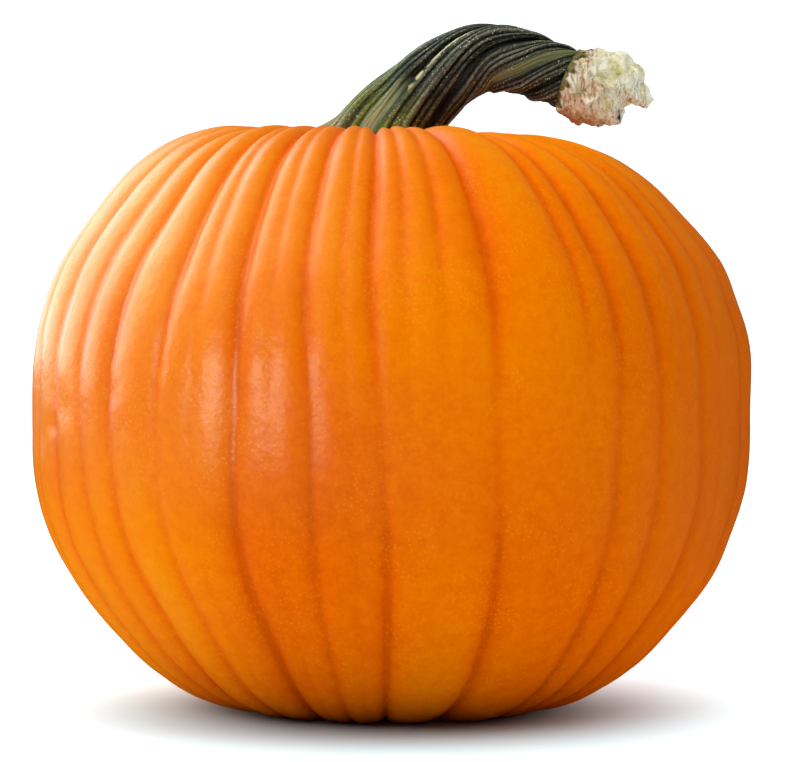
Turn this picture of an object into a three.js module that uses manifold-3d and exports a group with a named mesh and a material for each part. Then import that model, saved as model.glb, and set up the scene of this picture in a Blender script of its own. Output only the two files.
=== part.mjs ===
// A ripe orange pumpkin: a flattened, deeply ribbed fruit, the bent and twisted green stem that it hung by,
// and the pale torn end where that stem was broken from the vine.
// Millimetres, +Z up. The origin lies on the floor under the middle of the fruit.
// The front is -Y, and the stem bends over towards +X.
import * as THREE from "three";
import { mergeVertices } from "three/addons/utils/BufferGeometryUtils.js";
import Module from "manifold-3d";

const DEGREE = Math.PI / 180;

// Fruit, overall
const HALF_WIDTH = 146; // along X, before the waist swell
const HALF_DEPTH = 142; // along Y
const WAIST_HEIGHT = 120.6;
const CROWN_HEIGHT = 237.4; // of the smooth crown, before the hollow round the stem
const CROWN_SQUARENESS = 3.25; // exponent of the outline above the waist: 2 is an ellipse
const BASE_SQUARENESS = 2.88;
const WAIST_SWELL = 4.0; // the waist and both shoulders stand out by this, the flanks between fall in
const SWELL_TO_RIGHT = 0.4; // how much stronger that is on the right than on the left
const RIGHT_FLANK_FALL = 1.8; // the right flank falls in by this above and below its waist
const RIGHT_FLANK_LATITUDE = 15;
const RIGHT_FLANK_SPREAD = 7;
const FLOOR_SINK = 0.9; // the lowest rib backs are pressed flat by this on the floor

// Fruit, its two ends
const CROWN_HOLLOW = 14;
const CROWN_HOLLOW_RADIUS = 38;
const BLOSSOM_HOLLOW = 9;
const BLOSSOM_HOLLOW_RADIUS = 27;
const BLOSSOM_BUTTON = 2.6; // the corky scar that the flower left
const BLOSSOM_BUTTON_RADIUS = 6;
const LEFT_SHOULDER_RISE = 6.4; // the left shoulder is higher, and the right one as much lower
const RIGHT_BASE_RISE = 1.2;
const CROWN_LEAN = 5.5; // the crown as a whole lies right of the middle
const BASE_LEAN = 3.6;
const SEAT_X = -7; // where the ribs meet under the stem
const BLOSSOM_X = -3;

// Furrows of the front, from left to right: azimuth in degrees (0 is the front, 90 the right side),
// then depth on the crown, at the waist and at the base
const FRONT_FURROWS = [
  [-75.5, 3.0, 1.6, 2.0],
  [-65.0, 4.2, 2.0, 2.4],
  [-55.0, 3.8, 1.7, 2.4],
  [-47.0, 5.6, 2.0, 3.4],
  [-36.5, 5.0, 1.0, 2.2],
  [-30.5, 2.0, 0.4, 0.7],
  [-23.6, 5.2, 1.9, 3.6],
  [-17.5, 1.6, 0.4, 0.8],
  [-12.0, 3.8, 1.5, 1.8],
  [-6.0, 1.8, 0.5, 0.8],
  [-1.4, 4.2, 1.2, 3.0],
  [3.5, 2.0, 0.4, 0.4],
  [9.0, 2.0, 0.3, 0.3],
  [16.0, 4.2, 1.3, 3.2],
  [30.0, 2.6, 0.7, 0.6],
  [35.5, 3.4, 1.7, 2.2],
  [43.7, 3.4, 1.7, 2.2],
  [49.5, 1.3, 0.7, 0.7],
  [54.6, 3.0, 1.6, 2.6],
  [60.5, 1.8, 0.7, 1.0],
];
// The back goes on by rule from the last front furrow to the first
const BACK_RIBS = 18;
const BACK_RIB_UNEVENNESS = 0.3;
const BACK_DEEP = [3.8, 1.6, 2.8];
const BACK_SHALLOW = [1.7, 0.5, 0.8];
const BACK_SPLIT_WIDTH = 12.4; // a rib wider than this, in degrees, has a shallow furrow down it
const BACK_SEED = 11;
const RIB_STAND = [2.0, 0.6, 1.5]; // the rib backs stand out from the smooth outline
// Furrow section: a rounded V whose sides rise over this many degrees
const DEEP_FURROW_SPREAD = 3.6;
const SHALLOW_FURROW_SPREAD = 2.2;
const SHALLOW_FURROW_LIMIT = 2.5; // crown depth under which a furrow is a shallow one
const FURROW_CROWDING = 0.42; // and over no more than this share of the way to the next furrow
const FURROW_ROUNDING = 0.8; // degrees
const FURROW_WANDER = 0.5; // degrees to each side of a true meridian
const CROWN_DRIFT = -3.2; // degrees by which the front furrows turn to the left on the crown
const CROWN_DRIFT_REACH = 30; // degrees to each side of the front
const FURROW_FADE_RADIUS = 24; // the furrows run out within this of either pole

// Fruit, facets
const COLUMN_WIDTH = 3.1; // degrees, at most
const ROWS_EACH_HALF = 12;

// Stem: its middle line, and its size at the ridges
const STEM_LINE = [
  [-7, 0, 214],
  [-2.5, 0, 235],
  [9.5, -1, 250.5],
  [25, -3, 263],
  [41, -6, 269],
  [58, -9, 265.5],
  [73, -12, 259.3],
];
const STEM_END_RADIUS = 13.4;
const STEM_TAPER = 5; // thicker by this at the foot than at the end
const FOOT_FLARE = 15;
const FOOT_FLARE_LENGTH = 0.13; // share of the stem's length
const STEM_TWIST = 195; // degrees, most of it near the end
const STEM_TWIST_POWER = 3;
const STEM_RIDGES = 5;
const STEM_RIDGE_GROOVE = 2.6; // between two main ridges
const STEM_SUB_RIDGES = 3; // on each main ridge
const STEM_SUB_GROOVE = 1.1;
const STEM_GROOVE_SPREAD = 15; // degrees
const STEM_SUB_SPREAD = 7;
const TOE_REACH = 0.32; // how far the main ridges run out over the fruit as toes, against the flare
const LEFT_TOE = 9; // the corky toe on the left climbs the shoulder
const LEFT_TOE_ANGLE = 8;
const LEFT_TOE_SPREAD = 26;
const TOE_TIP = 13; // and its thin tip lies out over the crown
const TOE_TIP_FULL = 0.085; // full up to this share of the stem's length
const TOE_TIP_END = 0.18; // and gone from this one on
const TOE_TIP_SPREAD = 15;
const STEM_COLUMNS = 60;
const STEM_ROWS = 28;

// Torn end of the stem
const TORN_FIRST_STEP = 11; // straight on from the stem, and then along these points
const TORN_REST = [
  [96.5, -17.5, 255.6],
  [106.5, -19.7, 248.8],
];
// Share of its length, radius: a corky collar that swells out from the stem, then the torn core
const TORN_PROFILE = [
  [0, 13],
  [0.12, 14.4],
  [0.36, 15.2],
  [0.56, 14.2],
  [0.7, 10.0],
  [0.84, 4.8],
  [1, 2.2],
];
const TORN_LUMPS = 0.055; // share of the radius
const TORN_COLUMNS = 36;
const TORN_ROWS = 13;

const CLEARANCE = 0.3; // between touching pieces
const PLACE_X = -0.5; // these two bring the middle of the whole box over the origin
const PLACE_Y = 0.2;

function seededDraws(seed) {
  let state = seed;
  return () => {
    state = (state * 1664525 + 1013904223) % 4294967296;
    return state / 4294967296;
  };
}

function smoothstep(low, high, value) {
  const share = Math.min(1, Math.max(0, (value - low) / (high - low)));
  return share * share * (3 - 2 * share);
}

// A valley of depth 1: a rounded V, at this many degrees from its bottom
function valley(degrees, spread) {
  const distance = Math.hypot(degrees, FURROW_ROUNDING) - FURROW_ROUNDING;
  return Math.exp(-distance / spread);
}

function wrapDegrees(degrees) {
  return degrees - 360 * Math.round(degrees / 360);
}

// All furrows in order round the fruit
function makeFurrows() {
  const draw = seededDraws(BACK_SEED);
  const start = FRONT_FURROWS.at(-1)[0];
  const span = 360 + FRONT_FURROWS[0][0] - start;
  const widths = Array.from({ length: BACK_RIBS }, () => 1 + BACK_RIB_UNEVENNESS * (2 * draw() - 1));
  const total = widths.reduce((sum, width) => sum + width, 0);
  const furrows = FRONT_FURROWS.map((row) => [...row]);
  let azimuth = start;
  widths.forEach((share, index) => {
    const width = (share / total) * span;
    if (width > BACK_SPLIT_WIDTH) {
      const strength = 0.8 + 0.4 * draw();
      furrows.push([azimuth + width * (0.4 + 0.2 * draw()), ...BACK_SHALLOW.map((d) => d * strength)]);
    }
    azimuth += width;
    const strength = 0.8 + 0.4 * draw();
    if (index < BACK_RIBS - 1) furrows.push([azimuth, ...BACK_DEEP.map((d) => d * strength)]);
  });
  const middles = furrows.map((row) => row[0]);
  return furrows.map(([middle, ...depths]) => {
    const gap = Math.min(...middles.map((other) => Math.abs(wrapDegrees(other - middle)) || 360));
    const spread = depths[0] < SHALLOW_FURROW_LIMIT ? SHALLOW_FURROW_SPREAD : DEEP_FURROW_SPREAD;
    return { middle, depths, spread: Math.min(spread, FURROW_CROWDING * gap) };
  });
}

const furrows = makeFurrows();

// How far the ribs stand out at an azimuth in degrees. tilt runs from -1 at the base to 1 on the crown.
function ribRelief(azimuth, tilt) {
  const crown = smoothstep(0, 0.8, tilt);
  const base = smoothstep(0, 0.8, -tilt);
  const drift = CROWN_DRIFT * crown * Math.exp(-((wrapDegrees(azimuth) / CROWN_DRIFT_REACH) ** 2));
  const turned = azimuth - drift + FURROW_WANDER * Math.sin(5 * tilt + azimuth * 0.11);
  const mixed = ([onCrown, atWaist, atBase]) => crown * onCrown + base * atBase + (1 - crown - base) * atWaist;
  let relief = mixed(RIB_STAND);
  for (const { middle, depths, spread } of furrows) {
    relief -= mixed(depths) * valley(wrapDegrees(turned - middle), spread);
  }
  return relief;
}

// A point of the fruit's skin. level runs from -1 at the blossom end, by 0 at the waist, to 1 under the stem.
function fruitPoint(azimuth, level, outwards = 0) {
  const share = Math.abs(level) ** 1.6 / (Math.abs(level) ** 1.6 + (1 - Math.abs(level)) ** 1.6);
  const latitude = (Math.sign(level) * share * Math.PI) / 2;
  const above = latitude >= 0;
  const squareness = above ? CROWN_SQUARENESS : BASE_SQUARENESS;
  const out = Math.max(0, Math.cos(latitude)) ** (2 / squareness);
  const up = Math.sign(latitude) * Math.abs(Math.sin(latitude)) ** (2 / squareness);
  const outNormal = out ** (squareness - 1);
  const upNormal = Math.sign(up) * Math.abs(up) ** (squareness - 1);
  const length = Math.hypot(outNormal, upNormal);
  const side = Math.sin(azimuth * DEGREE);
  const radius = out * HALF_WIDTH;

  const offFlank = (Math.abs(latitude) / DEGREE - RIGHT_FLANK_LATITUDE) / RIGHT_FLANK_SPREAD;
  const flankFall = RIGHT_FLANK_FALL * Math.max(0, side) ** 2 * Math.exp(-(offFlank ** 2));
  const swell = (WAIST_SWELL + SWELL_TO_RIGHT * side) * Math.cos(5 * latitude) - flankFall;
  const fade = smoothstep(0, FURROW_FADE_RADIUS, radius);
  const raised = swell + fade * ribRelief(azimuth, up) + outwards;
  const rise = raised * (upNormal / length);
  const push = raised * (outNormal / length);

  let z = WAIST_HEIGHT + up * (above ? CROWN_HEIGHT - WAIST_HEIGHT : WAIST_HEIGHT) + rise;
  const crownShare = smoothstep(0, 1, up);
  const baseShare = smoothstep(0, 1, -up);
  if (above) z -= CROWN_HOLLOW * Math.exp(-((radius / CROWN_HOLLOW_RADIUS) ** 2));
  else {
    z += BLOSSOM_HOLLOW * Math.exp(-((radius / BLOSSOM_HOLLOW_RADIUS) ** 2));
    z -= BLOSSOM_BUTTON * Math.exp(-((radius / BLOSSOM_BUTTON_RADIUS) ** 4));
  }
  z -= LEFT_SHOULDER_RISE * side * out * crownShare;
  z += RIGHT_BASE_RISE * side * out * baseShare;
  const lean = CROWN_LEAN * crownShare + BASE_LEAN * baseShare;
  const pole = above ? SEAT_X : BLOSSOM_X;
  const x = (out * HALF_WIDTH + push) * side + lean * out + pole * (1 - out);
  const y = -(out * HALF_DEPTH + push) * Math.cos(azimuth * DEGREE);
  return new THREE.Vector3(x, y, Math.max(0, z - FLOOR_SINK));
}

// Column azimuths, with a column at the bottom of each furrow
function fruitColumns() {
  const middles = furrows.map((furrow) => furrow.middle);
  middles.push(middles[0] + 360);
  const columns = [];
  for (let i = 0; i + 1 < middles.length; i++) {
    const width = middles[i + 1] - middles[i];
    const parts = Math.max(2, Math.ceil(width / COLUMN_WIDTH));
    for (let k = 0; k < parts; k++) columns.push(middles[i] + (width * k) / parts);
  }
  return columns;
}

// Position only, with shared vertices merged and faces that shrank to a line left out
function welded(geometry) {
  geometry.deleteAttribute("normal");
  geometry.deleteAttribute("uv");
  const merged = mergeVertices(geometry, 1e-3);
  const index = merged.index.array;
  const kept = [];
  for (let i = 0; i < index.length; i += 3) {
    const [a, b, c] = index.slice(i, i + 3);
    if (a !== b && b !== c && c !== a) kept.push(a, b, c);
  }
  merged.setIndex(kept);
  return merged;
}

function fruitGeometry(outwards = 0) {
  const columns = fruitColumns();
  const rows = 2 * ROWS_EACH_HALF + 1;
  const levels = Array.from({ length: rows }, (_, j) => j / ROWS_EACH_HALF - 1);
  const profile = levels.map((level) => new THREE.Vector2(Math.sqrt(1 - level * level), level));
  const lathe = new THREE.LatheGeometry(profile, columns.length);
  const position = lathe.getAttribute("position");
  for (let i = 0; i <= columns.length; i++) {
    const azimuth = columns[i % columns.length];
    levels.forEach((level, j) => {
      const point = fruitPoint(azimuth, level, outwards);
      position.setXYZ(i * rows + j, point.x, point.y, point.z);
    });
  }
  return welded(lathe);
}

// A curve through the points, with its direction and two cross directions:
// over is the outer side of the bend, and near faces the front.
function lineFrame(curve, share) {
  const middle = curve.getPoint(share);
  const along = curve.getTangent(share);
  const near = new THREE.Vector3(0, -1, 0);
  near.addScaledVector(along, -near.dot(along)).normalize();
  const over = new THREE.Vector3().crossVectors(near, along).normalize();
  return { middle, along, near, over };
}

function curveThrough(points) {
  return new THREE.CatmullRomCurve3(points.map((p) => new THREE.Vector3(...p)), false, "catmullrom", 0.5);
}

// A closed tube: a capped cylinder whose every ring is carried to a place along the curve.
// radiusAt gives the radius at an angle round the ring, from the outer side by the front, and a share along it.
function tubeGeometry(curve, radiusAt, columns, rows) {
  const cylinder = new THREE.CylinderGeometry(1, 1, 1, columns, rows);
  const position = cylinder.getAttribute("position");
  for (let i = 0; i < position.count; i++) {
    const share = position.getY(i) + 0.5;
    const { middle, over, near } = lineFrame(curve, share);
    const angle = Math.atan2(position.getX(i), position.getZ(i));
    const radius = Math.hypot(position.getX(i), position.getZ(i)) * radiusAt(angle, share);
    middle.addScaledVector(over, radius * Math.cos(angle)).addScaledVector(near, radius * Math.sin(angle));
    position.setXYZ(i, middle.x, middle.y, middle.z);
  }
  return welded(cylinder);
}

// Depth of evenly spaced grooves at an angle in degrees
function evenGrooves(angle, count, depth, spread) {
  const pitch = 360 / count;
  const offset = angle - pitch * Math.round(angle / pitch);
  return depth * valley(offset, spread);
}

function stemRadius(angle, share) {
  const twist = STEM_TWIST * share ** STEM_TWIST_POWER;
  const onRidge = angle / DEGREE + twist;
  const flare = Math.exp(-share / FOOT_FLARE_LENGTH);
  const toes = 1 + TOE_REACH * Math.cos(STEM_RIDGES * onRidge * DEGREE + Math.PI);
  const leftOff = wrapDegrees(angle / DEGREE - LEFT_TOE_ANGLE);
  const leftToe = LEFT_TOE * Math.exp(-((leftOff / LEFT_TOE_SPREAD) ** 2));
  const tipShare = 1 - smoothstep(TOE_TIP_FULL, TOE_TIP_END, share);
  const toeTip = TOE_TIP * tipShare * Math.exp(-((leftOff / TOE_TIP_SPREAD) ** 2));
  const ridges = evenGrooves(onRidge, STEM_RIDGES, STEM_RIDGE_GROOVE, STEM_GROOVE_SPREAD);
  const subRidges = evenGrooves(onRidge, STEM_RIDGES * STEM_SUB_RIDGES, STEM_SUB_GROOVE, STEM_SUB_SPREAD);
  const foot = flare * (FOOT_FLARE * toes + leftToe) + toeTip;
  return STEM_END_RADIUS + STEM_TAPER * (1 - share) + foot - ridges - subRidges;
}

function tornRadius(angle, share) {
  const after = Math.max(1, TORN_PROFILE.findIndex((row) => row[0] >= share));
  const [[fromShare, from], [toShare, to]] = TORN_PROFILE.slice(after - 1, after + 1);
  const body = from + (to - from) * smoothstep(fromShare, toShare, share);
  const lumps =
    Math.sin(3 * angle + 1.3) + 0.7 * Math.sin(5 * angle + 7 * share) + 0.5 * Math.sin(8 * angle - 9 * share);
  return body * (1 + TORN_LUMPS * lumps * (0.3 + 0.7 * smoothstep(0, 0.2, share)));
}

const wasm = await Module();
wasm.setup();

function solidOf(geometry) {
  const position = geometry.getAttribute("position");
  const mesh = new wasm.Mesh({
    numProp: 3,
    vertProperties: new Float32Array(position.array),
    triVerts: new Uint32Array(geometry.index.array),
  });
  return new wasm.Manifold(mesh);
}

function geometryOf(solid) {
  const { vertProperties, triVerts } = solid.getMesh();
  return new THREE.BufferGeometry()
    .setAttribute("position", new THREE.BufferAttribute(vertProperties, 3))
    .setIndex(new THREE.BufferAttribute(triVerts, 1));
}

function pieceOf(name, geometry, colour, roughness) {
  const shown = geometry.index ? geometry : mergeVertices(geometry);
  shown.computeVertexNormals();
  const material = new THREE.MeshStandardMaterial({ color: colour, roughness, metalness: 0 });
  const mesh = new THREE.Mesh(shown, material);
  mesh.name = name;
  return mesh;
}

// Fruit
const fruit = pieceOf("fruit", fruitGeometry(), 0xe87a10, 0.4);

// Stem, hollowed underneath to sit on the fruit
const stemSolid = solidOf(tubeGeometry(curveThrough(STEM_LINE), stemRadius, STEM_COLUMNS, STEM_ROWS));
const seatSolid = solidOf(fruitGeometry(CLEARANCE));
const stem = pieceOf("stem", geometryOf(stemSolid.subtract(seatSolid)), 0x46512f, 0.6);

// Torn end of the stem, straight on from the stem's flat end
const stemLine = curveThrough(STEM_LINE);
const stemEnd = lineFrame(stemLine, 1);
const tornStart = stemEnd.middle.clone().addScaledVector(stemEnd.along, CLEARANCE);
const tornSecond = tornStart.clone().addScaledVector(stemEnd.along, TORN_FIRST_STEP);
const tornLine = curveThrough([tornStart.toArray(), tornSecond.toArray(), ...TORN_REST]);
const tornEnd = pieceOf(
  "stem_torn_end",
  tubeGeometry(tornLine, tornRadius, TORN_COLUMNS, TORN_ROWS),
  0xd9c9a6,
  0.85,
);

const pumpkin = new THREE.Group();
pumpkin.name = "pumpkin";
pumpkin.position.set(PLACE_X, PLACE_Y, 0);
pumpkin.add(fruit, stem, tornEnd);

export default pumpkin;
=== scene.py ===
"""A ripe orange pumpkin on a pale studio floor: the ribbed fruit, its bent green stem and the torn end."""

import math

import bmesh
import bpy
import numpy as np
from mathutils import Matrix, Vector, noise


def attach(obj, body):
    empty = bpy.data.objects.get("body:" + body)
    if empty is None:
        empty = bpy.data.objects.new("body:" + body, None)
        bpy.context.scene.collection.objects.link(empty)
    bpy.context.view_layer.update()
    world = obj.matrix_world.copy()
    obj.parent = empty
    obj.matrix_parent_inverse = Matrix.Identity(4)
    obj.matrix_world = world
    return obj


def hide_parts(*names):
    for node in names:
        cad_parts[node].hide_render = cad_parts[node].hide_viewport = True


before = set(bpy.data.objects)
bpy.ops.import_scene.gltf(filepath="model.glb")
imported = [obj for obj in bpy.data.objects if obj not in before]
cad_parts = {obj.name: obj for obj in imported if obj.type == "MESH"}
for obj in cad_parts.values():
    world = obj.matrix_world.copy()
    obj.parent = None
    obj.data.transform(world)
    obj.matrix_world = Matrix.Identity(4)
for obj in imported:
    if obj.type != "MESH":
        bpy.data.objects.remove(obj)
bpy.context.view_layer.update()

# The pieces' form is in millimetres, and the studio and the materials' places are in metres.
# +Z is up and the front is at -Y.
MM = 0.001
PLACE = np.array([-0.5, 0.2, 0.0])  # brings the middle of the whole box over the origin

# Fruit, overall
HALF_WIDTH = 146
HALF_DEPTH = 142
WAIST_HEIGHT = 120.6
CROWN_HEIGHT = 237.4
CROWN_SQUARENESS = 3.25  # exponent of the outline above the waist: 2 is an ellipse
BASE_SQUARENESS = 2.88
WAIST_SWELL = 4.0  # the waist and both shoulders stand out by this, the flanks between fall in
SWELL_TO_RIGHT = 0.4
SWELL_WAVES = 5
RIGHT_FLANK_FALL = 1.8  # the right flank falls in by this above and below its waist
RIGHT_FLANK_LATITUDE = 15
RIGHT_FLANK_SPREAD = 7
FLOOR_SINK = 0.9  # the lowest rib backs are pressed flat by this on the floor
LEVEL_EASING = 1.6  # rows lie closer together at the waist and at the poles
CROWN_HOLLOW = 14
CROWN_HOLLOW_RADIUS = 38
BLOSSOM_HOLLOW = 9
BLOSSOM_HOLLOW_RADIUS = 27
BLOSSOM_BUTTON = 2.6  # the corky scar that the flower left
BLOSSOM_BUTTON_RADIUS = 6
LEFT_SHOULDER_RISE = 6.4
RIGHT_BASE_RISE = 1.2
CROWN_LEAN = 5.5  # the crown as a whole lies right of the middle
BASE_LEAN = 3.6
SEAT_X = -7  # where the ribs meet under the stem
BLOSSOM_X = -3

# Furrows of the front: azimuth in degrees (0 is the front, 90 the right side),
# then depth on the crown, at the waist and at the base
FRONT_FURROWS = [
    (-75.5, 3.0, 1.6, 2.0),
    (-65.0, 4.2, 2.0, 2.4),
    (-55.0, 3.8, 1.7, 2.4),
    (-47.0, 5.6, 2.0, 3.4),
    (-36.5, 5.0, 1.0, 2.2),
    (-30.5, 2.0, 0.4, 0.7),
    (-23.6, 5.2, 1.9, 3.6),
    (-17.5, 1.6, 0.4, 0.8),
    (-12.0, 3.8, 1.5, 1.8),
    (-6.0, 1.8, 0.5, 0.8),
    (-1.4, 4.2, 1.2, 3.0),
    (3.5, 2.0, 0.4, 0.4),
    (9.0, 2.0, 0.3, 0.3),
    (16.0, 4.2, 1.3, 3.2),
    (30.0, 2.6, 0.7, 0.6),
    (35.5, 3.4, 1.7, 2.2),
    (43.7, 3.4, 1.7, 2.2),
    (49.5, 1.3, 0.7, 0.7),
    (54.6, 3.0, 1.6, 2.6),
    (60.5, 1.8, 0.7, 1.0),
]
# The back goes on by rule from the last front furrow to the first
BACK_RIBS = 18
BACK_RIB_UNEVENNESS = 0.3
BACK_DEEP = (3.8, 1.6, 2.8)
BACK_SHALLOW = (1.7, 0.5, 0.8)
BACK_SPLIT_WIDTH = 12.4  # a rib wider than this, in degrees, has a shallow furrow down it
BACK_SEED = 11
RIB_STAND = (2.0, 0.6, 1.5)  # the rib backs stand out from the smooth outline
DEEP_FURROW_SPREAD = 3.6  # the furrows' widths and ways are in degrees
SHALLOW_FURROW_SPREAD = 2.2
SHALLOW_FURROW_LIMIT = 2.5  # crown depth under which a furrow is a shallow one
FURROW_CROWDING = 0.42
FURROW_ROUNDING = 0.8
FURROW_WANDER = 0.5
CROWN_DRIFT = -3.2  # the front furrows turn to the left by this on the crown
CROWN_DRIFT_REACH = 30
FURROW_FADE_RADIUS = 24  # the furrows run out within this of either pole
FULL_TILT = 0.8  # from this far up or down, a furrow has all of its crown or base depth

# Fruit, finer than its solid
FRUIT_COLUMNS = 680
FRUIT_ROWS = 144
SEAM_SHARE = 0.18  # the narrow seam in a furrow deepens it by this share
SEAM_WIDTH = 1.1
SKIN_WAVES = 0.55  # the skin is uneven by this, in millimetres
SKIN_WAVE_LENGTH = 34
SKIN_RIPPLES = 0.1
SKIN_RIPPLE_LENGTH = 9
# Dents: azimuth, height, radius, depth
SKIN_DENTS = [
    (-66, 118, 5, 0.9),
    (-60, 126, 7, 0.7),
    (-63, 104, 4, 0.6),
    (-70, 112, 5, 0.7),
    (-47, 132, 6, 0.6),
    (24, 96, 9, 0.5),
    (4, 92, 5, 0.5),
    (128, 150, 8, 0.8),
    (-150, 96, 7, 0.8),
]

# Stem
STEM_LINE = [
    (-7, 0, 214),
    (-2.5, 0, 235),
    (9.5, -1, 250.5),
    (25, -3, 263),
    (41, -6, 269),
    (58, -9, 265.5),
    (73, -12, 259.3),
]
STEM_END_RADIUS = 13.4
STEM_TAPER = 5
FOOT_FLARE = 15
FOOT_FLARE_LENGTH = 0.13  # share of the stem's length
STEM_TWIST = 195  # degrees, most of it near the end
STEM_TWIST_POWER = 3
STEM_RIDGES = 5
STEM_RIDGE_GROOVE = 2.6
STEM_SUB_RIDGES = 3
STEM_SUB_GROOVE = 1.1
STEM_GROOVE_SPREAD = 15
STEM_SUB_SPREAD = 7
TOE_REACH = 0.32
LEFT_TOE = 9
LEFT_TOE_ANGLE = 8
LEFT_TOE_SPREAD = 26
TOE_TIP = 13  # the left toe's thin tip lies out over the crown
TOE_TIP_FULL = 0.085
TOE_TIP_END = 0.18
TOE_TIP_SPREAD = 15
STEM_COLUMNS = 360
STEM_ROWS = 230
LINE_GROOVES = 31
LINE_DEPTH = 1.2
LINE_LIFT = 0.25
LINE_SPREAD = 1.5
LINE_WANDER = 2.5
STEM_LUMPS = 0.45
# Painted shade: how much darker the stem is in its grooves and in its thin lines.
GROOVE_PAINTED_SHADE = 0.2
LINE_PAINTED_SHADE = 0.85
STEM_MAP_LENGTH = 7  # the stem is this many radii long where its streaks are laid out
# Ridge angles of what is painted along the stem, and half its width, in degrees
CREAM_STREAK = (80, 3.5)
# The pale band is a painted highlight on one ridge of the foot.
FOOT_HIGHLIGHT_BAND = (66, 7)
LIT_RIDGE = (212, 11)

# Torn end
CLEARANCE = 0.3
TORN_FIRST_STEP = 11
TORN_REST = [(96.5, -17.5, 255.6), (106.5, -19.7, 248.8)]
TORN_PROFILE = [
    (0, 13),
    (0.12, 14.4),
    (0.36, 15.2),
    (0.56, 14.2),
    (0.7, 10.0),
    (0.84, 4.8),
    (1, 2.2),
]
TORN_LUMPS = 0.055
TORN_COLUMNS = 200
TORN_ROWS = 150
CREASE_DEPTH = 0.9
CREASE_SIZE = (2.0, 2.0, 11.0)
CREASE_WIDTH = 0.22  # share of the noise's height that a crease takes up
TEAR_DEPTH = 1.7
TEAR_SIZE = 5.5
TEAR_FIELD_GAP = 50  # the three directions of a tear read the noise this far apart

# Studio floor, which bends up into a wall at the back
FLOOR_HALF_WIDTH = 12
FLOOR_FRONT = -12
WALL_PLACE = 2.6
WALL_TOP = 3.5
BEND_RADIUS = 1.0
BEND_STEPS = 24
FLOOR_COLOUR = (0.47, 0.64, 0.69)
# Painted shadow: the floor's glow rises from none at the shade radius round this middle to full at the
# white radius.
FLOOR_SHADE_MIDDLE = (0.001, -0.036, 0)
FLOOR_SHADE_RADIUS = 0.045
FLOOR_WHITE_RADIUS = 0.18
FLOOR_GLOW = 0.82
WORLD_STRENGTH = 0.06
LIGHTS_AIM = (0, 0, 0.13)

# The photograph's view
SENSOR_WIDTH = 36
CAMERA_AWAY = 1.25
CAMERA_HEIGHT = 0.170
CAMERA_LENS = 134.4
CAMERA_AIM = (0.0034, 0, 0.1341)


def seeded_draws(seed):
    """Numbers from 0 to 1 that are the same each run."""
    state = seed
    while True:
        state = (state * 1664525 + 1013904223) % 4294967296
        yield state / 4294967296


def smoothstep(low, high, value):
    share = np.clip((value - low) / (high - low), 0, 1)
    return share * share * (3 - 2 * share)


def valley(degrees, spread):
    """A valley of depth 1: a rounded V, at this many degrees from its bottom."""
    distance = np.hypot(degrees, FURROW_ROUNDING) - FURROW_ROUNDING
    return np.exp(-distance / spread)


def wrap_degrees(degrees):
    return degrees - 360 * np.round(degrees / 360)


def make_furrows():
    """All furrows round the fruit: middle, depths and spread."""
    draws = seeded_draws(BACK_SEED)
    start = FRONT_FURROWS[-1][0]
    span = 360 + FRONT_FURROWS[0][0] - start
    widths = [1 + BACK_RIB_UNEVENNESS * (2 * next(draws) - 1) for _ in range(BACK_RIBS)]
    rows = list(FRONT_FURROWS)
    azimuth = start
    for index, share in enumerate(widths):
        width = share / sum(widths) * span
        if width > BACK_SPLIT_WIDTH:
            strength = 0.8 + 0.4 * next(draws)
            middle = azimuth + width * (0.4 + 0.2 * next(draws))
            rows.append((middle, *(depth * strength for depth in BACK_SHALLOW)))
        azimuth += width
        strength = 0.8 + 0.4 * next(draws)
        if index < BACK_RIBS - 1:
            rows.append((azimuth, *(depth * strength for depth in BACK_DEEP)))
    middles = np.array([row[0] for row in rows])
    furrows = []
    for middle, *depths in rows:
        gaps = np.abs(wrap_degrees(middles - middle))
        nearest = gaps[gaps > 1e-6].min()
        spread = SHALLOW_FURROW_SPREAD if depths[0] < SHALLOW_FURROW_LIMIT else DEEP_FURROW_SPREAD
        furrows.append((middle, depths, min(spread, FURROW_CROWDING * nearest)))
    return furrows


FURROWS = make_furrows()


def furrow_depth(azimuth, tilt):
    """Depths of the furrows and of their seams, and how far the rib backs stand out.

    The furrows' wander doesn't repeat after 360 degrees. So the skin's two edges, at the back, stand apart.
    """
    crown = smoothstep(0, FULL_TILT, tilt)
    base = smoothstep(0, FULL_TILT, -tilt)
    drift = CROWN_DRIFT * crown * np.exp(-((wrap_degrees(azimuth) / CROWN_DRIFT_REACH) ** 2))
    turned = azimuth - drift + FURROW_WANDER * np.sin(5 * tilt + azimuth * 0.11)

    def mixed(depths):
        return crown * depths[0] + base * depths[2] + (1 - crown - base) * depths[1]

    depth = np.zeros_like(azimuth)
    seam = np.zeros_like(azimuth)
    for middle, depths, spread in FURROWS:
        off = wrap_degrees(turned - middle)
        depth += mixed(depths) * valley(off, spread)
        seam += mixed(depths) * np.exp(-((off / SEAM_WIDTH) ** 2))
    return depth, seam, mixed(RIB_STAND)


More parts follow.
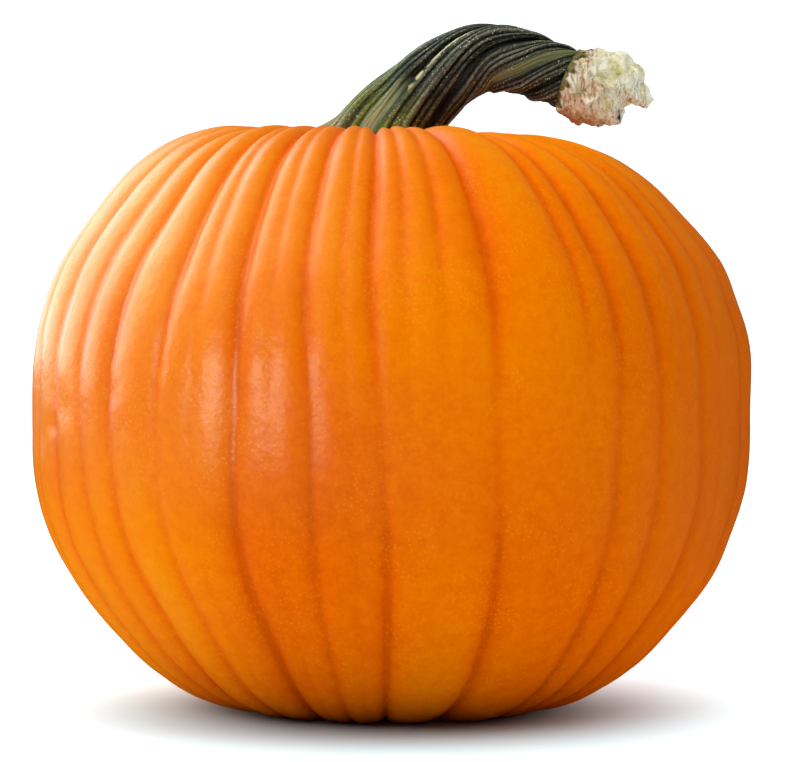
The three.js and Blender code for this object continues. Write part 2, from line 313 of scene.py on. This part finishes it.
def fruit_points(azimuth, level, raised_more):
    """The fruit's skin in millimetres, its furrows and seams, and its latitude.

    level runs from -1 at the blossom end, by 0 at the waist, to 1 under the stem.
    """
    size = np.abs(level) ** LEVEL_EASING
    share = size / (size + (1 - np.abs(level)) ** LEVEL_EASING)
    latitude = np.sign(level) * share * math.pi / 2
    above = latitude >= 0
    squareness = np.where(above, CROWN_SQUARENESS, BASE_SQUARENESS)
    out = np.maximum(0, np.cos(latitude)) ** (2 / squareness)
    up = np.sign(latitude) * np.abs(np.sin(latitude)) ** (2 / squareness)
    out_normal = out ** (squareness - 1)
    up_normal = np.sign(up) * np.abs(up) ** (squareness - 1)
    length = np.hypot(out_normal, up_normal)
    side = np.sin(np.radians(azimuth))
    radius = out * HALF_WIDTH
    off_flank = (np.abs(np.degrees(latitude)) - RIGHT_FLANK_LATITUDE) / RIGHT_FLANK_SPREAD
    flank_fall = RIGHT_FLANK_FALL * np.maximum(0, side) ** 2 * np.exp(-(off_flank**2))
    swell = (WAIST_SWELL + SWELL_TO_RIGHT * side) * np.cos(SWELL_WAVES * latitude) - flank_fall
    fade = smoothstep(0, FURROW_FADE_RADIUS, radius)
    depth, seam, stand = furrow_depth(azimuth, up)
    raised = swell + fade * (stand - depth - SEAM_SHARE * seam) + fade * raised_more
    rise = raised * up_normal / length
    push = raised * out_normal / length
    half_height = np.where(above, CROWN_HEIGHT - WAIST_HEIGHT, WAIST_HEIGHT)
    z = WAIST_HEIGHT + up * half_height + rise
    crown_share = smoothstep(0, 1, up)
    base_share = smoothstep(0, 1, -up)
    crown_hollow = CROWN_HOLLOW * np.exp(-((radius / CROWN_HOLLOW_RADIUS) ** 2))
    blossom_hollow = BLOSSOM_HOLLOW * np.exp(-((radius / BLOSSOM_HOLLOW_RADIUS) ** 2))
    button = BLOSSOM_BUTTON * np.exp(-((radius / BLOSSOM_BUTTON_RADIUS) ** 4))
    z += np.where(above, -crown_hollow, blossom_hollow - button)
    z -= LEFT_SHOULDER_RISE * side * out * crown_share
    z += RIGHT_BASE_RISE * side * out * base_share
    lean = CROWN_LEAN * crown_share + BASE_LEAN * base_share
    pole = np.where(above, SEAT_X, BLOSSOM_X)
    x = (out * HALF_WIDTH + push) * side + lean * out + pole * (1 - out)
    y = -(out * HALF_DEPTH + push) * np.cos(np.radians(azimuth))
    points = np.stack([x, y, np.maximum(0, z - FLOOR_SINK)], axis=1)
    return points, depth * fade, seam * fade, latitude


def mesh_coordinates(mesh):
    flat = np.empty(len(mesh.vertices) * 3)
    mesh.vertices.foreach_get("co", flat)
    return flat.reshape(-1, 3)


def set_coordinates(mesh, points_mm):
    mesh.vertices.foreach_set("co", ((points_mm + PLACE) * MM).ravel())
    mesh.update()


def add_value(mesh, name, values):
    """A number on every vertex, for the materials."""
    layer = mesh.attributes.new(name, "FLOAT", "POINT")
    layer.data.foreach_set("value", np.asarray(values, dtype=float))


def add_vector(mesh, name, vectors):
    layer = mesh.attributes.new(name, "FLOAT_VECTOR", "POINT")
    layer.data.foreach_set("vector", np.asarray(vectors, dtype=float).ravel())


def new_piece(name, bm, material):
    mesh = bpy.data.meshes.new(name)
    bm.to_mesh(mesh)
    bm.free()
    mesh.materials.append(material)
    piece = bpy.data.objects.new(name, mesh)
    bpy.context.scene.collection.objects.link(piece)
    return piece


def new_sheet(name, columns, rows, material):
    """A flat grid to be rolled up: the piece, and each vertex's turn and place, 0 to 1."""
    bm = bmesh.new()
    bmesh.ops.create_grid(bm, x_segments=columns, y_segments=rows, size=1)
    piece = new_piece(name, bm, material)
    flat = mesh_coordinates(piece.data)
    return piece, flat[:, 0] / 2 + 0.5, flat[:, 1] / 2 + 0.5


def close_up(piece):
    """Joins a rolled sheet's poles, and its two edges where they meet, and points its faces outwards."""
    bm = bmesh.new()
    bm.from_mesh(piece.data)
    bmesh.ops.remove_doubles(bm, verts=bm.verts, dist=1e-6)
    bmesh.ops.recalc_face_normals(bm, faces=bm.faces)
    for face in bm.faces:
        face.smooth = True
    bm.to_mesh(piece.data)
    bm.free()


def fit_piece(piece, node):
    """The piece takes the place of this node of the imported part."""
    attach(piece, "root")
    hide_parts(node)


def noise_values(points, length, octaves):
    scale = 1 / length
    return np.array([noise.fractal(Vector(p) * scale, 1.0, 2.0, octaves) for p in points])


# Materials


class Finish:
    """A material with its nodes, made by short calls."""

    def __init__(self, name):
        self.material = bpy.data.materials.new(name)
        self.material.use_nodes = True
        self.tree = self.material.node_tree
        self.shader = self.tree.nodes["Principled BSDF"]

    def node(self, kind, settings=None, **inputs):
        made = self.tree.nodes.new(kind)
        for key, value in (settings or {}).items():
            setattr(made, key, value)
        for key, value in inputs.items():
            self.feed(made.inputs[key.replace("_", " ")], value)
        return made

    def feed(self, socket, value):
        if isinstance(value, bpy.types.NodeSocket):
            self.tree.links.new(value, socket)
        else:
            socket.default_value = value

    def place(self):
        return self.node("ShaderNodeTexCoord").outputs["Object"]

    def value(self, name):
        return self.node("ShaderNodeAttribute", {"attribute_name": name}).outputs["Fac"]

    def vector(self, name):
        return self.node("ShaderNodeAttribute", {"attribute_name": name}).outputs["Vector"]

    def stretched(self, vector, scale):
        return self.node("ShaderNodeMapping", Vector=vector, Scale=scale).outputs["Vector"]

    def clouds(self, vector, scale, detail, roughness=0.5):
        settings = {"Scale": scale, "Detail": detail, "Roughness": roughness}
        return self.node("ShaderNodeTexNoise", Vector=vector, **settings).outputs["Fac"]

    def dots(self, vector, scale):
        return self.node("ShaderNodeTexVoronoi", Vector=vector, Scale=scale).outputs["Distance"]

    def between(self, value, low, high, to_low=0.0, to_high=1.0):
        """A smooth step from to_low, where the value is low, to to_high."""
        made = self.node("ShaderNodeMapRange", {"interpolation_type": "SMOOTHSTEP"}, Value=value)
        for key, number in (("From Min", low), ("From Max", high), ("To Min", to_low), ("To Max", to_high)):
            made.inputs[key].default_value = number
        return made.outputs["Result"]

    def maths(self, operation, first, *others):
        """The values added, subtracted or multiplied in turn."""
        for other in others:
            made = self.node("ShaderNodeMath", {"operation": operation})
            self.feed(made.inputs[0], first)
            self.feed(made.inputs[1], other)
            first = made.outputs["Value"]
        return first

    def blend(self, share, first, second):
        made = self.node("ShaderNodeMix", {"data_type": "RGBA"})
        self.feed(made.inputs["Factor"], share)
        self.feed(made.inputs[6], first)
        self.feed(made.inputs[7], second)
        return made.outputs[2]

    def ramp(self, value, stops):
        made = self.node("ShaderNodeValToRGB", Fac=value)
        elements = made.color_ramp.elements
        while len(elements) < len(stops):
            elements.new(1.0)
        for element, (place, shade) in zip(elements, stops):
            element.position = place
            element.color = (*shade, 1)
        return made.outputs["Color"]

    def bump(self, height, distance, strength, below=None):
        made = self.node("ShaderNodeBump", Height=height, Distance=distance, Strength=strength)
        if below:
            self.feed(made.inputs["Normal"], below)
        return made.outputs["Normal"]


def linear(level):
    """Screen level, 0 to 255, as linear light, by the sRGB rule."""
    return ((level / 255 + 0.055) / 1.055) ** 2.4 if level > 10 else level / 255 / 12.92


def colour(red, green, blue):
    return tuple(linear(level) for level in (red, green, blue))


def paint(red, green, blue):
    """A colour for a socket that also takes an alpha."""
    return (*colour(red, green, blue), 1)


def skin_tone_and_painted_light(f, place, across, height):
    """How light the skin is, 0 to 1: lighter towards the top, in patches and mottled. It has painted light
    on the left and low at the front, a yellower tone on the right under the painted shade there, and
    painted shade in the furrows.
    """
    # Painted light: the skin is made lighter low on the left.
    at_left = f.between(across, -0.12, -0.03, 0.25, 0.0)
    painted_low_left_light = f.maths("MULTIPLY", at_left, f.between(height, 0.06, 0.14, 1.0, 0.0))
    # Painted light: the skin is made lighter low down at the front.
    at_front = f.between(across, 0.02, 0.06, 1.0, 0.1)
    painted_low_front_light = f.maths("MULTIPLY", at_front, f.between(height, 0.015, 0.1, 0.3, 0.0))
    open_skin = f.maths(
        "ADD",
        f.between(height, 0.04, 0.26, 0.2, 0.87),
        f.between(f.clouds(place, 9, 2.0), 0.35, 0.65, -0.1, 0.1),
        # Painted light: the skin is made lighter on the left side.
        f.between(across, -0.13, -0.04, 0.24, 0.0),
        # A yellower tone on the right, under the painted shade there.
        f.between(across, 0.05, 0.13, 0.0, 0.08),
        painted_low_left_light,
        painted_low_front_light,
        f.between(f.clouds(place, 190, 3.0, 0.6), 0.3, 0.7, -0.06, 0.07),
        f.between(f.clouds(place, 620, 2.0), 0.3, 0.7, -0.04, 0.05),
    )
    # Painted shade: the skin is darker in the furrows and in their seams.
    furrow_painted_shade = f.between(f.value("furrow"), 0.5, 3.0, 0.0, 0.2)
    seam_painted_shade = f.between(f.value("seam"), 0.3, 3.2, 0.0, 0.25)
    return f.maths("SUBTRACT", open_skin, furrow_painted_shade, seam_painted_shade)


def skin_finish():
    """Waxy orange skin, with painted light and shade in its colour. Its places are in metres: across from
    left to right, and the height.
    """
    f = Finish("pumpkin_skin")
    place = f.place()
    parted = f.node("ShaderNodeSeparateXYZ", Vector=place)
    across = parted.outputs["X"]
    height = parted.outputs["Z"]
    base = f.ramp(skin_tone_and_painted_light(f, place, across, height), [
        (0.0, colour(208, 80, 0)),
        (0.3, colour(230, 98, 0)),
        (0.6, colour(239, 118, 0)),
        (0.9, colour(241, 138, 3)),
    ])
    specks = f.between(f.dots(place, 600), 0.16, 0.36, 1.0, 0.0)
    specks = f.maths("MULTIPLY", specks, f.between(f.clouds(place, 40, 2.0), 0.4, 0.6, 0.03, 0.2))
    base = f.blend(specks, base, paint(255, 176, 30))
    # Painted shade: the skin is blended to a darker orange towards the right side.
    base = f.blend(f.between(across, 0.05, 0.145, 0.0, 0.5), base, paint(190, 84, 0))
    base = f.blend(f.value("scar"), base, paint(150, 108, 62))
    f.feed(f.shader.inputs["Base Color"], base)
    f.feed(f.shader.inputs["Roughness"], f.between(height, 0.14, 0.2, 0.32, 0.44))
    # The wax shines on the upper left, as in the photograph
    raised = f.maths("ADD", height, f.maths("MULTIPLY", across, 0.16))
    upper = f.between(raised, 0.06, 0.125, 0.02, 0.5)
    wax = f.maths("MULTIPLY", upper, f.between(across, -0.09, 0.05, 1.0, 0.05))
    f.feed(f.shader.inputs["Specular IOR Level"], wax)
    f.shader.inputs["Specular Tint"].default_value = (1.0, 0.86, 0.34, 1)
    low = f.bump(f.clouds(place, 75, 2.0), 0.0012, 0.4)
    mid = f.bump(f.clouds(place, 380, 2.0), 0.0003, 0.6, low)
    f.feed(f.shader.inputs["Normal"], f.bump(specks, 0.0002, 0.5, mid))
    return f.material


def stem_finish():
    """Green, olive at the foot, with painted shade in its grooves, a pale band that is a painted highlight,
    a lit ridge, a cream streak and a corky toe.
    """
    f = Finish("green_stem")
    place = f.place()
    along = f.vector("stem_map")
    ridge = f.value("ridge")
    share = f.value("share")
    streaks = f.clouds(f.stretched(along, (1, 1, 0.06)), 7, 4.0, 0.65)
    fine = f.clouds(f.stretched(along, (1, 1, 0.03)), 30, 3.0, 0.65)
    grain = f.clouds(place, 900, 3.0, 0.6)
    tone = f.maths(
        "ADD",
        # Painted shade: darker in the grooves, lighter on the ridges.
        f.between(ridge, 0.25, 0.95, 0.0, 0.6),
        f.between(streaks, 0.32, 0.68, -0.14, 0.22),
        f.between(fine, 0.32, 0.68, -0.1, 0.1),
        f.between(grain, 0.35, 0.65, -0.12, 0.12),
    )
    dark = f.ramp(tone, [
        (0.0, colour(12, 13, 5)),
        (0.3, colour(56, 58, 43)),
        (0.62, colour(106, 107, 88)),
        (1.0, colour(164, 164, 142)),
    ])
    olive = f.ramp(tone, [
        (0.0, colour(30, 38, 4)),
        (0.35, colour(90, 100, 13)),
        (0.7, colour(144, 152, 48)),
        (1.0, colour(202, 204, 140)),
    ])
    foot = f.between(share, 0.16, 0.46, 1.0, 0.0)
    foot = f.maths("MULTIPLY", foot, f.between(streaks, 0.3, 0.62, 0.4, 1.0))
    base = f.blend(foot, dark, olive)
    # Painted highlight: a pale green band on one ridge of the foot.
    pale = f.ramp(fine, [(0.35, colour(126, 144, 78)), (0.62, colour(222, 236, 192))])
    base = f.blend(f.value("pale"), base, pale)
    lit = f.ramp(fine, [(0.35, colour(88, 94, 38)), (0.65, colour(188, 188, 134))])
    base = f.blend(f.value("lit_ridge"), base, lit)
    cream = f.maths("MULTIPLY", f.value("cream"), f.between(f.clouds(place, 260, 2.0), 0.44, 0.54))
    base = f.blend(cream, base, paint(224, 214, 160))
    toe = f.maths("MULTIPLY", f.value("toe"), f.between(streaks, 0.3, 0.6, 0.5, 1.0))
    corky = f.ramp(fine, [(0.3, colour(112, 84, 50)), (0.7, colour(206, 182, 138))])
    base = f.blend(toe, base, corky)
    specks = f.maths(
        "MULTIPLY",
        f.between(f.dots(place, 760), 0.12, 0.26, 1.0, 0.0),
        f.between(f.clouds(place, 90, 2.0), 0.4, 0.56, 0.0, 0.9),
        f.between(ridge, 0.3, 0.7),
    )
    base = f.blend(specks, base, paint(228, 222, 196))
    f.feed(f.shader.inputs["Base Color"], base)
    f.feed(f.shader.inputs["Roughness"], f.between(streaks, 0.3, 0.7, 0.5, 0.66))
    f.shader.inputs["Specular IOR Level"].default_value = 0.15
    deep = f.bump(fine, 0.0007, 0.5)
    deep = f.bump(grain, 0.0004, 0.6, deep)
    f.feed(f.shader.inputs["Normal"], f.bump(specks, 0.0004, 0.6, deep))
    return f.material


def torn_finish():
    """A pale corky collar, then lighter torn flesh, with painted shade in its creases and in a notch, and
    tan on the underside.
    """
    f = Finish("torn_stem_tissue")
    place = f.place()
    crease = f.value("crease")
    strands = f.clouds(f.stretched(place, (1, 1, 0.25)), 420, 4.0, 0.65)
    patches = f.clouds(place, 130, 3.0, 0.6)
    spots = f.clouds(place, 380, 2.0, 0.6)
    mixed = f.maths("ADD", f.maths("MULTIPLY", strands, 0.65), f.maths("MULTIPLY", patches, 0.35))
    collar = f.ramp(mixed, [
        (0.36, colour(184, 148, 104)),
        (0.44, colour(218, 194, 152)),
        (0.53, colour(236, 224, 198)),
        (0.64, colour(246, 242, 230)),
    ])
    flesh = f.ramp(mixed, [
        (0.36, colour(206, 196, 128)),
        (0.46, colour(240, 230, 198)),
        (0.56, colour(250, 243, 224)),
        (0.7, colour(248, 246, 236)),
    ])
    yellow = f.between(f.clouds(place, 95, 2.0), 0.55, 0.64, 0.0, 0.45)
    flesh = f.blend(yellow, flesh, paint(206, 200, 96))
    # Painted shade: the collar and the flesh are darker in the creases.
    collar = f.blend(f.between(crease, 0.0, 0.5, 0.7, 0.0), collar, paint(158, 112, 66))
    flesh = f.blend(f.between(crease, 0.0, 0.4, 0.6, 0.0), flesh, paint(176, 156, 88))
    base = f.blend(f.value("core"), collar, flesh)
    # Tan patches on the underside, at the near edge and under the tip.
    tan_below = f.maths("MULTIPLY", f.value("rim"), f.between(spots, 0.35, 0.55, 0.45, 1.0))
    base = f.blend(tan_below, base, paint(196, 154, 100))
    # Painted shade: a dark brown spot stands in for the shade in a notch on the underside.
    base = f.blend(f.value("notch_shade"), base, paint(74, 54, 16))
    rind = f.ramp(strands, [(0.4, colour(58, 54, 22)), (0.6, colour(128, 116, 66))])
    base = f.blend(f.value("rind"), base, rind)
    f.feed(f.shader.inputs["Base Color"], base)
    f.shader.inputs["Roughness"].default_value = 0.8
    f.shader.inputs["Specular IOR Level"].default_value = 0.25
    deep = f.bump(strands, 0.0022, 1.0)
    f.feed(f.shader.inputs["Normal"], f.bump(spots, 0.0012, 0.6, deep))
    return f.material


# Fruit


def make_fruit():
    piece, turn, place = new_sheet("pumpkin_fruit", FRUIT_COLUMNS, FRUIT_ROWS, skin_finish())
    azimuth = 360 * turn - 180
    level = 2 * place - 1
    plain = fruit_points(azimuth, level, 0)[0]
    uneven = SKIN_WAVES * noise_values(plain, SKIN_WAVE_LENGTH, 2)
    uneven += SKIN_RIPPLES * noise_values(plain, SKIN_RIPPLE_LENGTH, 2)
    for middle, height, radius, dent in SKIN_DENTS:
        across = wrap_degrees(azimuth - middle) * math.pi / 180 * HALF_WIDTH
        away = np.hypot(across, plain[:, 2] - height)
        uneven -= dent * np.exp(-((away / radius) ** 2))
    points, depth, seam, latitude = fruit_points(azimuth, level, uneven)
    set_coordinates(piece.data, points)
    add_value(piece.data, "furrow", depth)
    add_value(piece.data, "seam", seam)
    radius = np.hypot(points[:, 0] - BLOSSOM_X, points[:, 1])
    scar = (1 - smoothstep(BLOSSOM_BUTTON_RADIUS, 2 * BLOSSOM_BUTTON_RADIUS, radius)) * (latitude < 0)
    add_value(piece.data, "scar", scar)
    close_up(piece)
    fit_piece(piece, "fruit")


# Stem


class Curve:
    """A smooth curve through points: the uniform kind, with its end points mirrored outwards."""

    def __init__(self, points):
        p = np.array(points, dtype=float)
        self.points = np.vstack([2 * p[0] - p[1], p, 2 * p[-1] - p[-2]])
        self.spans = len(p) - 1

    def at(self, share):
        place = np.clip(share * self.spans, 0, self.spans - 1e-9)
        first = np.floor(place).astype(int)
        t = (place - first)[:, None]
        a, b, c, d = (self.points[first + k] for k in range(4))
        tangent_in = 0.5 * (c - a)
        tangent_out = 0.5 * (d - b)
        middle = (
            (2 * b - 2 * c + tangent_in + tangent_out) * t**3
            + (-3 * b + 3 * c - 2 * tangent_in - tangent_out) * t**2
            + tangent_in * t
            + b
        )
        along = (
            3 * (2 * b - 2 * c + tangent_in + tangent_out) * t**2
            + 2 * (-3 * b + 3 * c - 2 * tangent_in - tangent_out) * t
            + tangent_in
        )
        along /= np.linalg.norm(along, axis=1, keepdims=True)
        near = np.array([0.0, -1.0, 0.0]) - along * -along[:, 1:2]
        near /= np.linalg.norm(near, axis=1, keepdims=True)
        over = np.cross(near, along)
        return middle, along, near, over


def make_tube(name, curve, radius_at, columns, rows, material):
    """A tube along a curve: a rolled sheet whose first and last rows draw in to the flat ends."""
    piece, turn, place = new_sheet(name, columns, rows + 2, material)
    row = np.round(place * (rows + 2))
    share = np.clip((row - 1) / rows, 0, 1)
    rim = (row > 0) & (row < rows + 2)
    angle = 2 * math.pi * turn - math.pi
    middle, along, near, over = curve.at(share)
    radius = rim * radius_at(angle, share)
    points = middle + over * (radius * np.cos(angle))[:, None]
    points += near * (radius * np.sin(angle))[:, None]
    set_coordinates(piece.data, points)
    return piece, angle, share, points


def band(degrees, middle, spread):
    return np.exp(-((wrap_degrees(degrees - middle) / spread) ** 2))


def even_grooves(angle, count, spread):
    pitch = 360 / count
    return valley(angle - pitch * np.round(angle / pitch), spread)


def on_ridge(angle, share):
    """The angle in degrees as counted on the ridges, which twist along the stem."""
    return np.degrees(angle) + STEM_TWIST * share**STEM_TWIST_POWER


def stem_grooves(angle, share):
    turned = on_ridge(angle, share)
    main = even_grooves(turned, STEM_RIDGES, STEM_GROOVE_SPREAD)
    sub = even_grooves(turned, STEM_RIDGES * STEM_SUB_RIDGES, STEM_SUB_SPREAD)
    return STEM_RIDGE_GROOVE * main + STEM_SUB_GROOVE * sub


def fine_grooves(angle, share):
    """The many thin grooves between the sub ridges, each of its own depth, from 0 to 1.

    The depths don't repeat after a full turn. So the stem's two edges, inside its bend, stand apart.
    """
    turned = on_ridge(angle, share)
    slow = np.sin(np.radians(5.3 * turned) + 2 * share)
    own_depth = 0.62 + 0.38 * slow * np.sin(np.radians(11.7 * turned))
    wandering = turned + LINE_WANDER * np.sin(6 * share)
    return own_depth * even_grooves(wandering, LINE_GROOVES, LINE_SPREAD)


def stem_radius(angle, share):
    turned = on_ridge(angle, share)
    flare = np.exp(-share / FOOT_FLARE_LENGTH)
    toes = 1 + TOE_REACH * np.cos(np.radians(STEM_RIDGES * turned) + math.pi)
    left_toe = LEFT_TOE * band(np.degrees(angle), LEFT_TOE_ANGLE, LEFT_TOE_SPREAD)
    tip_share = 1 - smoothstep(TOE_TIP_FULL, TOE_TIP_END, share)
    toe_tip = TOE_TIP * tip_share * band(np.degrees(angle), LEFT_TOE_ANGLE, TOE_TIP_SPREAD)
    lumps = STEM_LUMPS * np.sin(np.radians(3 * turned) + 11 * share)
    lumps *= np.sin(17 * share + np.radians(2 * turned))
    body = STEM_END_RADIUS + STEM_TAPER * (1 - share)
    body += flare * (FOOT_FLARE * toes + left_toe) + toe_tip
    lines = LINE_DEPTH * (LINE_LIFT - fine_grooves(angle, share))
    return body - stem_grooves(angle, share) + lines + lumps


def make_stem():
    piece, angle, share, _ = make_tube(
        "pumpkin_stem", Curve(STEM_LINE), stem_radius, STEM_COLUMNS, STEM_ROWS, stem_finish())
    ridge_angle = on_ridge(angle, share)
    turned = np.radians(ridge_angle)
    laid_out = np.stack([np.cos(turned), np.sin(turned), share * STEM_MAP_LENGTH], axis=1)
    add_vector(piece.data, "stem_map", laid_out)
    # Painted shade in the grooves and thin lines, kept with the ridge value.
    painted_ridge_light = 1 - GROOVE_PAINTED_SHADE * stem_grooves(angle, share)
    painted_ridge_light -= LINE_PAINTED_SHADE * fine_grooves(angle, share)
    add_value(piece.data, "ridge", np.clip(painted_ridge_light, 0, 1))
    add_value(piece.data, "share", share)
    middle_part = smoothstep(0.33, 0.38, share) * (1 - smoothstep(0.66, 0.72, share))
    add_value(piece.data, "cream", middle_part * band(ridge_angle, *CREAM_STREAK))
    # Painted highlight along one ridge of the foot.
    lower_part = 1 - smoothstep(0.26, 0.4, share)
    add_value(piece.data, "pale", lower_part * band(ridge_angle, *FOOT_HIGHLIGHT_BAND))
    upper_part = smoothstep(0.45, 0.6, share)
    add_value(piece.data, "lit_ridge", upper_part * band(ridge_angle, *LIT_RIDGE) * 0.9)
    foot = 1 - smoothstep(0.14, 0.22, share)
    add_value(piece.data, "toe", foot * band(np.degrees(angle), LEFT_TOE_ANGLE, LEFT_TOE_SPREAD))
    close_up(piece)
    fit_piece(piece, "stem")


# Torn end


def torn_radius(angle, share):
    places = np.array([row[0] for row in TORN_PROFILE])
    radii = np.array([row[1] for row in TORN_PROFILE], dtype=float)
    after = np.clip(np.searchsorted(places, share), 1, len(places) - 1)
    mix = smoothstep(0, 1, (share - places[after - 1]) / (places[after] - places[after - 1]))
    body = radii[after - 1] + (radii[after] - radii[after - 1]) * mix
    lumps = np.sin(3 * angle + 1.3) + 0.7 * np.sin(5 * angle + 7 * share)
    lumps += 0.5 * np.sin(8 * angle - 9 * share)
    return body * (1 + TORN_LUMPS * lumps * (0.3 + 0.7 * smoothstep(0, 0.2, share)))


def torn_curve():
    stem_end, along, _, _ = Curve(STEM_LINE).at(np.array([1.0]))
    start = stem_end[0] + along[0] * CLEARANCE
    return Curve([start, start + along[0] * TORN_FIRST_STEP, *TORN_REST])


def make_torn_end():
    piece, angle, share, points = make_tube(
        "torn_end", torn_curve(), torn_radius, TORN_COLUMNS, TORN_ROWS, torn_finish())
    outwards = points - torn_curve().at(share)[0]
    outwards /= np.maximum(np.linalg.norm(outwards, axis=1, keepdims=True), 1)
    grown = smoothstep(0.0, 0.12, share)
    crease = np.clip(np.abs(noise_values(points / CREASE_SIZE, 1, 3)) / CREASE_WIDTH, 0, 1)
    fields = [noise_values(points + TEAR_FIELD_GAP * k, TEAR_SIZE, 3) for k in (1, 2, 3)]
    torn = np.stack(fields, axis=1)
    ragged = TEAR_DEPTH * grown * (1 - 0.5 * smoothstep(0.75, 1, share))
    points += outwards * (grown * CREASE_DEPTH * (crease - 0.6))[:, None] + torn * ragged[:, None]
    set_coordinates(piece.data, points)
    add_value(piece.data, "crease", crease)
    break_line = share + 0.06 * np.sin(3 * angle) + 0.05 * noise_values(points, 3, 2)
    add_value(piece.data, "core", smoothstep(0.4, 0.5, break_line))
    below = band(np.degrees(angle), 180, 34) * smoothstep(0.08, 0.2, share)
    below *= 1 - smoothstep(0.42, 0.56, share)
    edge = (1 - smoothstep(0.06, 0.14, share)) * 0.35
    tip_below = band(np.degrees(angle), 180, 40) * smoothstep(0.72, 0.8, share) * 0.8
    add_value(piece.data, "rim", np.clip(below + edge + tip_below, 0, 1))
    # Painted shade of a notch on the underside, which the form doesn't have.
    notch = band(np.degrees(angle), 168, 18) * np.exp(-(((share - 0.62) / 0.05) ** 2))
    add_value(piece.data, "notch_shade", np.clip(notch * 1.4, 0, 1))
    rind_edge = 0.075 + 0.035 * np.sin(11 * angle) + 0.02 * np.sin(29 * angle)
    add_value(piece.data, "rind", 1 - smoothstep(rind_edge - 0.02, rind_edge + 0.02, share))
    close_up(piece)
    fit_piece(piece, "stem_torn_end")


# Studio


def make_floor():
    """A pale floor that glows white further out, with a painted shadow under the fruit where the glow
    fades. It shows in no reflection on the skin.
    """
    f = Finish("studio_white")
    distance = f.node("ShaderNodeVectorMath", {"operation": "DISTANCE"})
    f.feed(distance.inputs[0], f.place())
    f.feed(distance.inputs[1], FLOOR_SHADE_MIDDLE)
    away = distance.outputs["Value"]
    # Painted shadow and glow: the floor glows, though it is no lamp, and less near the fruit.
    glow = f.between(away, FLOOR_SHADE_RADIUS, FLOOR_WHITE_RADIUS, 0.0, FLOOR_GLOW)
    f.shader.inputs["Base Color"].default_value = (*FLOOR_COLOUR, 1)
    f.shader.inputs["Roughness"].default_value = 0.9
    f.shader.inputs["Specular IOR Level"].default_value = 0.0
    f.shader.inputs["Emission Color"].default_value = (1, 1, 1, 1)
    f.feed(f.shader.inputs["Emission Strength"], glow)
    bm = bmesh.new()
    bend_start = WALL_PLACE - BEND_RADIUS
    line = [(FLOOR_FRONT, 0), (bend_start, 0)]
    for step in range(1, BEND_STEPS + 1):
        turn = math.pi / 2 * step / BEND_STEPS
        line.append((bend_start + BEND_RADIUS * math.sin(turn), BEND_RADIUS - BEND_RADIUS * math.cos(turn)))
    line.append((WALL_PLACE, WALL_TOP))
    verts = [bm.verts.new((-FLOOR_HALF_WIDTH, y, z)) for y, z in line]
    edges = [bm.edges.new(pair) for pair in zip(verts, verts[1:])]
    grown = bmesh.ops.extrude_edge_only(bm, edges=edges)
    moved = [part for part in grown["geom"] if isinstance(part, bmesh.types.BMVert)]
    bmesh.ops.translate(bm, verts=moved, vec=(2 * FLOOR_HALF_WIDTH, 0, 0))
    bmesh.ops.recalc_face_normals(bm, faces=bm.faces)
    floor = new_piece("studio_floor", bm, f.material)
    floor.data.polygons.foreach_set("use_smooth", [True] * len(floor.data.polygons))
    floor.visible_glossy = False


def make_light(name, place, width, height, power, lights_skin=True, mirrors=True, tint=(1, 1, 1)):
    """A panel turned to the fruit. It lights the skin, shows in its reflections, or both."""
    lamp = bpy.data.lights.new(name, "AREA")
    lamp.shape = "RECTANGLE"
    lamp.size = width
    lamp.size_y = height
    lamp.energy = power
    lamp.color = tint
    holder = bpy.data.objects.new(name, lamp)
    holder.location = place
    holder.rotation_euler = (Vector(LIGHTS_AIM) - Vector(place)).to_track_quat("-Z", "Y").to_euler()
    holder.visible_diffuse = lights_skin
    holder.visible_glossy = mirrors
    bpy.context.scene.collection.objects.link(holder)


def make_lights():
    make_light("overhead_left", (-1.1, -0.8, 2.0), 2.6, 2.6, 54, mirrors=False)
    make_light("left_rear_sheen", (-1.3, 0.7, 1.6), 2.0, 1.5, 54, lights_skin=False, tint=(0.6, 0.84, 1))
    make_light("left_rear_panel", (-1.2, 0.8, 0.54), 1.7, 0.76, 16, lights_skin=False)
    blue = (0.35, 0.5, 1)
    make_light("front_left_panel", (-0.95, -1.05, 0.24), 0.46, 0.34, 11, lights_skin=False, tint=blue)
    make_light("right_fill", (0.8, -0.6, 2.4), 1.4, 1.4, 22, mirrors=False)


def make_world():
    world = bpy.data.worlds.new("studio_world")
    bpy.context.scene.world = world
    world.cycles_visibility.glossy = False
    world.use_nodes = True
    background = world.node_tree.nodes["Background"]
    background.inputs["Color"].default_value = (1, 1, 1, 1)
    background.inputs["Strength"].default_value = WORLD_STRENGTH


def make_camera():
    lens = bpy.data.cameras.new("photograph_view")
    lens.sensor_width = SENSOR_WIDTH
    lens.lens = CAMERA_LENS
    camera = bpy.data.objects.new("photograph_view", lens)
    camera.location = (0, -CAMERA_AWAY, CAMERA_HEIGHT)
    camera.rotation_euler = (Vector(CAMERA_AIM) - camera.location).to_track_quat("-Z", "Y").to_euler()
    bpy.context.scene.collection.objects.link(camera)
    bpy.context.scene.camera = camera


bpy.context.scene.view_settings.view_transform = "Standard"
make_camera()
make_fruit()
make_stem()
make_torn_end()
make_floor()
make_lights()
make_world()
